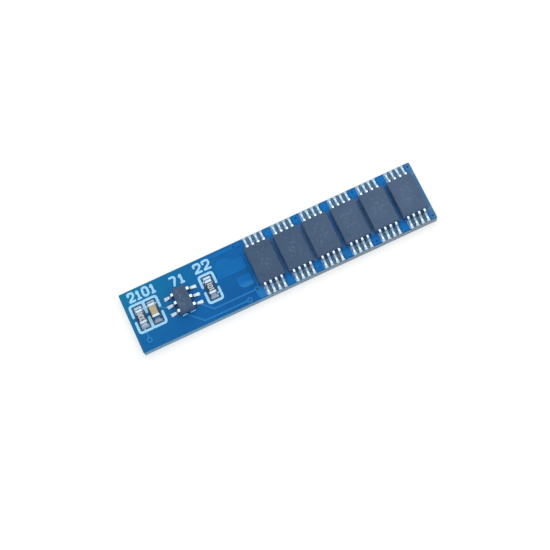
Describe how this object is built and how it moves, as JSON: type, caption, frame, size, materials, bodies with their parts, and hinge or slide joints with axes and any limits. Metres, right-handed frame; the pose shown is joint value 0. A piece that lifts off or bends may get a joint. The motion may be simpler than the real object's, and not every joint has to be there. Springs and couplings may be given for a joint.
{
  "type": "battery management board",
  "caption": "Long narrow circuit board that protects a lithium cell: a row of switching transistors, a controller and chip parts on a blue board.",
  "frame": {"origin": "middle of the board's footprint, on the underside that it rests on", "axes": "+X along the board from the controller end towards the transistor end, +Y across the board, +Z out of the component side"},
  "size_m": [0.0348, 0.0072, 0.0022],
  "materials": {
    "laminate": "cut edge of glass and epoxy laminate",
    "copper": "copper foil",
    "solder_mask": "glossy blue solder mask",
    "ink": "printed white ink",
    "tin": "bright tin",
    "solder": "reflowed solder, smooth",
    "moulding": "fine-grained black moulding compound",
    "ceramic": "white alumina",
    "glass_coat": "dark glass coat",
    "capacitor_ceramic": "tan fired ceramic"
  },
  "bodies": {
    "root": {"laminate": "laminate", "top_copper": "copper", "bottom_copper": "copper", "via_barrels": "copper", "top_mask": "solder_mask", "bottom_mask": "solder_mask", "silkscreen": "ink", "pad_tin": "tin", "mosfet_1_package": "moulding", "mosfet_1_leads": "tin", "mosfet_1_solder": "solder", "mosfet_2_package": "moulding", "mosfet_2_leads": "tin", "mosfet_2_solder": "solder", "mosfet_3_package": "moulding", "mosfet_3_leads": "tin", "mosfet_3_solder": "solder", "mosfet_4_package": "moulding", "mosfet_4_leads": "tin", "mosfet_4_solder": "solder", "mosfet_5_package": "moulding", "mosfet_5_leads": "tin", "mosfet_5_solder": "solder", "mosfet_6_package": "moulding", "mosfet_6_leads": "tin", "mosfet_6_solder": "solder", "controller_package": "moulding", "controller_leads": "tin", "controller_solder": "solder", "supply_resistor_ceramic": "ceramic", "supply_resistor_end_caps": "tin", "supply_resistor_coat": "glass_coat", "supply_resistor_solder": "solder", "sense_resistor_ceramic": "ceramic", "sense_resistor_end_caps": "tin", "sense_resistor_coat": "glass_coat", "sense_resistor_solder": "solder", "capacitor_body": "capacitor_ceramic", "capacitor_end_caps": "tin", "capacitor_solder": "solder"}
  },
  "joints": []
}
